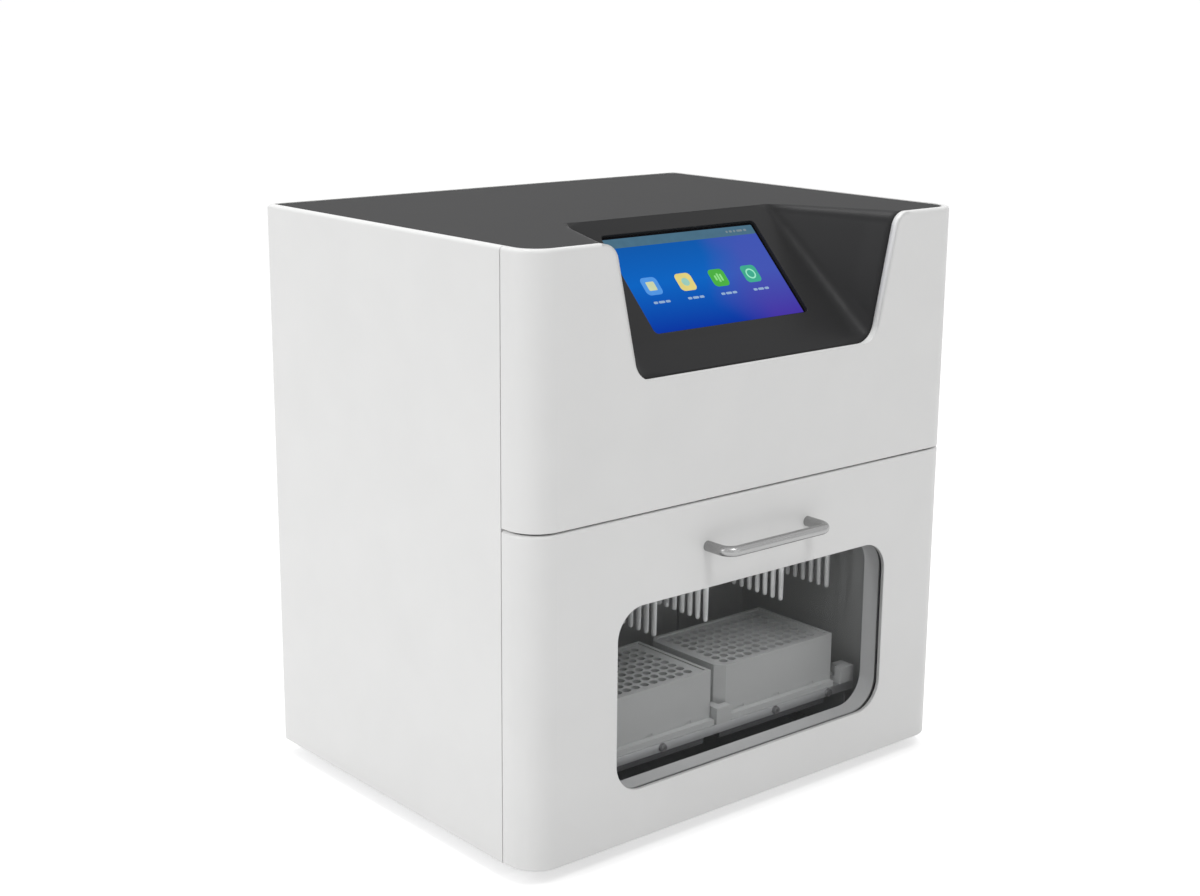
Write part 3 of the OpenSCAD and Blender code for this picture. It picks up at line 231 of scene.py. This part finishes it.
def circuit_board(name):
    s = Surface(name, 0.4)
    cell = 2.5 * MM
    cells = s.node("TexVoronoi", {"Vector": s.place(), "Scale": 1 / cell}, feature="DISTANCE_TO_EDGE")
    tracks = cells.outputs["Distance"]
    s.drive("Base Color", s.ramp(tracks, (0.02, (0.05, 0.20, 0.08)), (0.08, (0.012, 0.07, 0.028))))
    s.gloss(0.3, 0.45)
    return s.bump((tracks, 0.02 * MM)).material


# How the grain of brushed metal is stretched, along x or along z
ALONG_X = (0.02, 1, 1)
ALONG_Z = (1, 1, 0.02)

WHITE = (0.80, 0.80, 0.795)
DARK = (0.028, 0.028, 0.0288)
TOP_MIDDLE = (0, 0, CAD_BOX[1][2])
FRONT_TOP = (0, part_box("upper_front_cover")[0][1], CAD_BOX[1][2])

# Edge radii by distance: wide at the sides of the recess and of the notch, narrow round the display,
# at the notch's foot and at the seams
RECESS_EDGE = (TOP_MIDDLE, (1, 0, 0), 88 * MM, 100 * MM, 0.8 * MM, 7.0 * MM)
NOTCH_EDGE = (FRONT_TOP, (0, 3, 1), 80 * MM, 95 * MM, 6.0 * MM, 0.8 * MM)

MATERIALS = {
    "cover_plastic": moulded("satin_white_cover", WHITE, 0.36, 0.46, 0.5 * MM, 0.006 * MM),
    "dark_plastic": recessed_plastic("dark_grained_plastic", DARK, 0.11, 0.7, 0.28, 0.4 * MM, 0.018 * MM),
    "display_glass": black_glass("display_black_glass"),
    "painted_steel": powder_coat("grey_powder_coat", (0.30, 0.31, 0.32)),
    "rear_paint": powder_coat("white_powder_coat", (0.76, 0.76, 0.755), 0.008),
    "chamber_paint": moulded("dark_chamber_paint", (0.42, 0.425, 0.425), 0.4, 0.55, 1.2 * MM, 0.006 * MM),
    "bare_steel": brushed("bare_steel", (0.60, 0.60, 0.61), ALONG_Z),
    "handle_steel": brushed("satin_handle_steel", (0.35, 0.35, 0.35), ALONG_X, 0.22, 0.30, 0.05, 0.002 * MM),
    "aluminium": brushed("brushed_aluminium", (0.70, 0.71, 0.72), ALONG_X, 0.3, 0.45),
    "heater_metal": brushed("anodised_heater", (0.20, 0.20, 0.21), ALONG_X, 0.4, 0.55),
    "case_metal": brushed("plated_case", (0.62, 0.63, 0.64), ALONG_X, 0.25, 0.4),
    "foot_rubber": rubber("foot_rubber"),
    "gasket_rubber": rubber("gasket_rubber", (0.11, 0.11, 0.112)),
    "belt_rubber": toothed_belt("toothed_belt", 2 * MM, 0.5 * MM),
    "black_plastic": moulded("black_plastic", (0.02, 0.02, 0.021), 0.5, 0.65, 0.4 * MM, 0.02 * MM),
    "plate_plastic": moulded(
        "well_plate_plastic", (0.58, 0.59, 0.59), 0.3, 0.42, 1.2 * MM, 0.006 * MM, 0.4 * MM
    ),
    "sleeve_plastic": moulded("sleeve_plastic", (0.80, 0.81, 0.81), 0.25, 0.35, 1.0 * MM, 0.004 * MM, 0.0),
    "grey_plastic": moulded(
        "grey_fitting_plastic", (0.60, 0.61, 0.61), 0.4, 0.5, 0.8 * MM, 0.01 * MM, 0.4 * MM
    ),
    "liner_plastic": moulded("liner_plastic", (0.70, 0.705, 0.71), 0.35, 0.5, 0.8 * MM, 0.01 * MM),
    "window_glass": tinted_glass("tinted_window"),
    "lamp_glass": lamp_glass("lamp_glass"),
    "motor_black": powder_coat("motor_black", (0.025, 0.025, 0.027)),
    "board_green": circuit_board("board_green"),
    "guard_wire": powder_coat("guard_black", (0.03, 0.03, 0.03)),
    "rocker_red": moulded("rocker_red", (0.30, 0.012, 0.012), 0.15, 0.25, 1.0 * MM, 0.004 * MM, 0.5 * MM),
}

OWN_FINISH = {
    "z_screw": threaded("lift_screw_thread", (0.55, 0.55, 0.56), 2 * MM, 0.5 * MM),
    "rod_screw": threaded("rod_screw_thread", (0.55, 0.55, 0.56), 2 * MM, 0.4 * MM),
    "upper_front_cover": moulded(
        "satin_white_upper_cover", WHITE, 0.36, 0.46, 0.5 * MM, 0.006 * MM, NOTCH_EDGE
    ),
    "chassis_screws": brushed("dark_steel_screws", (0.32, 0.32, 0.325), ALONG_Z, 0.3, 0.45),
    "x_rails": brushed("ground_rail_x", (0.62, 0.62, 0.63), ALONG_X, 0.15, 0.25, 0.03),
}

for part in frame["record"]["subparts"]:
    node = NODES[part["node"]]
    node.data.materials.clear()
    node.data.materials.append(OWN_FINISH.get(part["node"]) or MATERIALS[part["material_slot"]])


# ---- pieces ----


def piece(name, mesh_maker, material, body, matrix):
    """A mesh built by mesh_maker(bm) and moved by a matrix, riding on a body."""
    bm = bmesh.new()
    mesh_maker(bm)
    bmesh.ops.recalc_face_normals(bm, faces=bm.faces)
    mesh = bpy.data.meshes.new(name)
    bm.to_mesh(mesh)
    bm.free()
    made = bpy.data.objects.new(name, mesh)
    bpy.context.scene.collection.objects.link(made)
    mesh.transform(matrix)
    mesh.materials.append(material)
    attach(made, body)


def outline_slab(points, low, high):
    """A maker for a flat outline with a thickness from low to high in z."""

    def make(bm):
        floor = [bm.verts.new((x, y, low)) for x, y in points]
        roof = [bm.verts.new((x, y, high)) for x, y in points]
        bm.faces.new(floor)
        bm.faces.new(roof)
        for i in range(len(points)):
            j = (i + 1) % len(points)
            bm.faces.new((floor[i], floor[j], roof[j], roof[i]))

    return make


def rounded(width, height, radius, centre=(0, 0), steps=6):
    """The corner points of a rectangle with round corners."""
    points = []
    for quarter, (sx, sy) in enumerate(((1, 1), (-1, 1), (-1, -1), (1, -1))):
        cx = centre[0] + sx * (width / 2 - radius)
        cy = centre[1] + sy * (height / 2 - radius)
        for k in range(steps + 1):
            a = math.radians(90 * (quarter + k / steps))
            points.append((cx + radius * math.cos(a), cy + radius * math.sin(a)))
    return points


def joined(*makers):
    def make(bm):
        for maker in makers:
            maker(bm)

    return make


def sloping_face(node):
    """A frame on the node's largest face that looks up and forward: x across, y up the slope, z out of it."""
    mesh = NODES[node].data
    facing = [p for p in mesh.polygons if p.normal.z > 0.3 and p.normal.y < -0.3]
    normal = max(facing, key=lambda p: p.area).normal.copy()
    across = Vector((1, 0, 0))
    up = normal.cross(across)
    top = max(v.co.dot(normal) for v in mesh.vertices)
    on_face = [v.co for v in mesh.vertices if v.co.dot(normal) > top - 0.1 * MM]
    middle = (max(c.dot(up) for c in on_face) + min(c.dot(up) for c in on_face)) / 2
    origin = normal * top + up * middle
    turn = Matrix((across, up, normal)).transposed().to_4x4()
    return Matrix.Translation(origin) @ turn


# ---- the picture on the touch screen ----

SCREEN = sloping_face("touch_display")
LIT_W, LIT_H = 154 * MM, 86 * MM
LIT_R = 0.8 * MM
BAR_H = 8.5 * MM
LAYER = 0.04 * MM
ICON = 16 * MM
ICON_XS = [-55 * MM, -21 * MM, 13 * MM, 47 * MM]
ICON_Y = -2 * MM
CAPTION_DX = 1.5 * MM
CAPTION_Y = -16.8 * MM
MARKS_X = 58 * MM

# From and to what height above the glass each layer of the picture goes
SHEET, BAR, TILE, MARK = [(low * LAYER, high * LAYER) for low, high in ((0.5, 1), (1, 1.5), (1, 1.8), (2, 3))]

# Each sign's shapes in shares of a button: an offset, a width, a height and a corner radius
SIGNS = {
    "square": [(0, 0.5, 0.5, 0.06)],
    "disc": [(0, 0.46, 0.46, 0.229)],
    "columns": [(-0.18, 0.12, 0.3, 0.04), (0, 0.12, 0.5, 0.04), (0.18, 0.12, 0.4, 0.04)],
}

# Each button's name, sign, and the colours of its tile and its sign
BUTTONS = (
    ("left", "square", (0.09, 0.32, 0.80), (0.62, 0.68, 0.42)),
    ("second", "disc", (0.78, 0.66, 0.22), (0.34, 0.62, 0.52)),
    ("third", "columns", (0.075, 0.45, 0.06), (0.28, 0.75, 0.26)),
    ("right", "ring", (0.055, 0.42, 0.28), (0.35, 0.85, 0.62)),
)


def glowing(name):
    """A surface of the display's picture, nearly black but for the Emission Color that it is to be given."""
    s = Surface(name, 0.12, Specular_IOR_Level=0.01, Emission_Strength=1.0)
    unlit = s.ramp(s.noise(6 * MM, 1.0), (0.0, (0.001, 0.001, 0.001)), (1.0, (0.002, 0.002, 0.002)))
    return s.drive("Base Color", unlit)


def lit(name, colour):
    """One glowing colour, slightly uneven."""
    s = glowing(name)
    uneven = s.ramp(s.noise(6 * MM, 1.0), (0.3, [c * 0.92 for c in colour]), (0.7, colour))
    return s.drive("Emission Color", uneven).material


def picture_material():
    """Blue at the left and top, deep blue at the lower left, violet and purple at the right, in clouds."""
    s = glowing("display_picture")
    corner = SCREEN @ Matrix.Translation((-LIT_W / 2, -LIT_H / 2, 0))
    turned = corner.inverted().to_3x3()
    shift = corner.inverted().translation
    where = s.node("TexCoord").outputs["Object"]
    share = []
    for row, length in ((0, LIT_W), (1, LIT_H)):
        along = s.node("VectorMath", {0: where, 1: turned[row][:]}, operation="DOT_PRODUCT").outputs["Value"]
        inputs = {"Value": along, "From Min": -shift[row], "From Max": length - shift[row]}
        share.append(s.node("MapRange", inputs).outputs["Result"])
    across, up = share
    drift = s.span(s.noise(60 * MM, 1.0), -0.14, 0.14)
    across = s.node("Math", {0: across, 1: drift}, operation="ADD").outputs["Value"]
    left = s.ramp(up, (0.0, (0.001, 0.034, 0.35)), (0.5, (0.002, 0.125, 0.53)), (1.0, (0.003, 0.090, 0.38)))
    right = s.ramp(up, (0.0, (0.060, 0.032, 0.36)), (0.5, (0.055, 0.090, 0.45)), (1.0, (0.050, 0.090, 0.45)))
    inputs = {"Value": across, "From Min": 0.5, "From Max": 1.0}
    fade = s.node("MapRange", inputs, interpolation_type="SMOOTHSTEP")
    blend = s.node("MixRGB", {"Fac": fade.outputs["Result"], "Color1": left, "Color2": right})
    return s.drive("Emission Color", blend.outputs["Color"]).material


def bars(widths, x, y, height, gap):
    """A row of plain short bars, in place of words."""
    start = x - (sum(widths) + gap * (len(widths) - 1)) / 2
    makers = []
    for width in widths:
        makers.append(outline_slab(rounded(width, height, height * 0.4, (start + width / 2, y), 3), *MARK))
        start += width + gap
    return joined(*makers)


def ring(radius, width, centre, steps=32):
    angles = [math.tau * k / steps for k in range(steps)]
    low, high = MARK

    def make(bm):
        loops = []
        for r, z in ((radius, low), (radius, high), (radius - width, high), (radius - width, low)):
            spots = [(centre[0] + r * math.cos(a), centre[1] + r * math.sin(a), z) for a in angles]
            loops.append([bm.verts.new(spot) for spot in spots])
        for one, two in zip(loops, loops[1:] + loops[:1]):
            for k in range(steps):
                bm.faces.new((one[k], one[(k + 1) % steps], two[(k + 1) % steps], two[k]))

    return make


def sign(kind, x, y):
    """One plain sign for a button: a ring, or the shapes of SIGNS."""
    if kind == "ring":
        return ring(0.3 * ICON, 0.08 * ICON, (x, y))
    return joined(*[
        outline_slab(rounded(width * ICON, height * ICON, radius * ICON, (x + offset * ICON, y)), *MARK)
        for offset, width, height, radius in SIGNS[kind]
    ])


def touch_picture():
    def show(name, maker, material):
        piece(name, maker, material, "root", SCREEN)

    bar_mid = (0, (LIT_H - BAR_H) / 2)
    bar = outline_slab(rounded(LIT_W, BAR_H, LIT_R, bar_mid, 3), *BAR)
    marks = bars([2 * MM, 3 * MM, 2 * MM, 6 * MM, 3 * MM], MARKS_X, bar_mid[1], 2 * MM, 1.5 * MM)
    pale = lit("screen_pale", (0.30, 0.44, 0.66))
    show("screen_picture", outline_slab(rounded(LIT_W, LIT_H, LIT_R, steps=3), *SHEET), picture_material())
    show("screen_status_bar", bar, lit("screen_status_colour", (0.070, 0.160, 0.235)))
    show("screen_status_marks", marks, lit("screen_mark_colour", (0.20, 0.26, 0.30)))
    for x, (name, kind, back, front) in zip(ICON_XS, BUTTONS):
        tile = outline_slab(rounded(ICON, ICON, 0.24 * ICON, (x, ICON_Y)), *TILE)
        caption = bars([4 * MM, 6 * MM, 4.5 * MM], x + CAPTION_DX, CAPTION_Y, 2.1 * MM, 0.9 * MM)
        show(f"screen_button_{name}", tile, lit(f"screen_{name}_back", back))
        show(f"screen_sign_{name}", sign(kind, x, ICON_Y), lit(f"screen_{name}_front", front))
        show(f"screen_caption_{name}", caption, pale)


touch_picture()


# ---- camera, floor and light ----

# Each softbox's name, place, the point it faces, the length of its sides and its watts
SOFTBOXES = (
    ("key_left", (-2.7, 0.6, 1.4), (0, 0, 0.2), 1.8, 26),
    ("fill_front", (0.3, -2.8, 1.0), (0, 0, 0.2), 2.0, 4),
    ("front_top", (-0.2, -1.4, 2.2), (0, 0, 0.3), 0.6, 11),
    ("back_top", (0.1, 0.9, 2.4), (0, 0, 0.4), 1.2, 20),
)
FLOOR_GLOW = 0.60                   # brings the lit floor up to white
WORLD_LIGHT, WORLD_SEEN = 0.52, 1.0


def camera():
    """A view from the front left, a little above the top, with a slight roll."""
    place = Vector((-0.9754, -1.1220, 0.6300))
    yaw, pitch, roll = (math.radians(a) for a in (40.283, 13.908, 0.458))
    data = bpy.data.cameras.new("camera")
    data.sensor_width = 36
    data.lens = 56.895
    made = bpy.data.objects.new("camera", data)
    bpy.context.scene.collection.objects.link(made)
    turn = Matrix.Rotation(-yaw, 4, "Z") @ Matrix.Rotation(math.pi / 2 - pitch, 4, "X")
    made.matrix_world = Matrix.Translation(place) @ turn @ Matrix.Rotation(roll, 4, "Z")
    bpy.context.scene.camera = made


def seen_directly(nodes, links):
    """1 for rays from the camera, and for those reflected or let through by glossy and clear surfaces."""
    path = nodes.new("ShaderNodeLightPath")
    total = path.outputs["Is Camera Ray"]
    for name in ("Is Glossy Ray", "Is Transmission Ray"):
        add = nodes.new("ShaderNodeMath")
        add.operation = "MAXIMUM"
        links.new(total, add.inputs[0])
        links.new(path.outputs[name], add.inputs[1])
        total = add.outputs[0]
    return total


def floor():
    """A plain pale floor, white where nothing shades it."""
    half = 60.0
    data = bpy.data.meshes.new("floor")
    corners = [(-half, -half, 0), (half, -half, 0), (half, half, 0), (-half, half, 0)]
    data.from_pydata(corners, [], [(0, 1, 2, 3)])
    made = bpy.data.objects.new("floor", data)
    bpy.context.scene.collection.objects.link(made)
    material = bpy.data.materials.new("pale_floor")
    material.use_nodes = True
    nodes, links = material.node_tree.nodes, material.node_tree.links
    nodes.clear()
    diffuse = nodes.new("ShaderNodeBsdfDiffuse")
    diffuse.inputs["Color"].default_value = (0.78, 0.78, 0.78, 1)
    glow = nodes.new("ShaderNodeEmission")
    glow.inputs["Color"].default_value = (1, 1, 1, 1)
    scale = nodes.new("ShaderNodeMath")
    scale.operation = "MULTIPLY"
    scale.inputs[1].default_value = FLOOR_GLOW
    links.new(seen_directly(nodes, links), scale.inputs[0])
    links.new(scale.outputs[0], glow.inputs["Strength"])
    both = nodes.new("ShaderNodeAddShader")
    links.new(diffuse.outputs[0], both.inputs[0])
    links.new(glow.outputs[0], both.inputs[1])
    out = nodes.new("ShaderNodeOutputMaterial")
    links.new(both.outputs[0], out.inputs["Surface"])
    data.materials.append(material)


def world():
    """An even pale sky that lights the object softly and is seen as white."""
    made = bpy.data.worlds.new("studio")
    bpy.context.scene.world = made
    made.use_nodes = True
    nodes, links = made.node_tree.nodes, made.node_tree.links
    back = nodes["Background"]
    back.inputs["Color"].default_value = (1, 1, 1, 1)
    level = nodes.new("ShaderNodeMapRange")
    level.inputs["To Min"].default_value = WORLD_LIGHT
    level.inputs["To Max"].default_value = WORLD_SEEN
    links.new(seen_directly(nodes, links), level.inputs["Value"])
    links.new(level.outputs["Result"], back.inputs["Strength"])


def softbox(name, place, target, width, height, power):
    data = bpy.data.lights.new(name, "AREA")
    data.shape = "RECTANGLE"
    data.size = width
    data.size_y = height
    data.energy = power
    made = bpy.data.objects.new(name, data)
    bpy.context.scene.collection.objects.link(made)
    aim = (Vector(target) - Vector(place)).to_track_quat("-Z", "Y")
    made.matrix_world = Matrix.Translation(place) @ aim.to_matrix().to_4x4()
    return made


def chamber_light():
    """The lamp's soft light down and back into the chamber, from just under the middle of its tube."""
    low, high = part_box("uv_lamp")
    middle = (low[1] + high[1]) / 2
    below, back, length, width, power = 3 * MM, 130 * MM, (high[0] - low[0]) / 2, 12 * MM, 0.08
    made = softbox("chamber_light", (0, middle, low[2] - below), (0, middle + back, 0), length, width, power)
    made.visible_camera = False
    made.visible_glossy = False


camera()
floor()
world()
for name, place, target, side, power in SOFTBOXES:
    softbox(name, place, target, side, side, power)
chamber_light()
bpy.context.scene.view_settings.view_transform = "Standard"
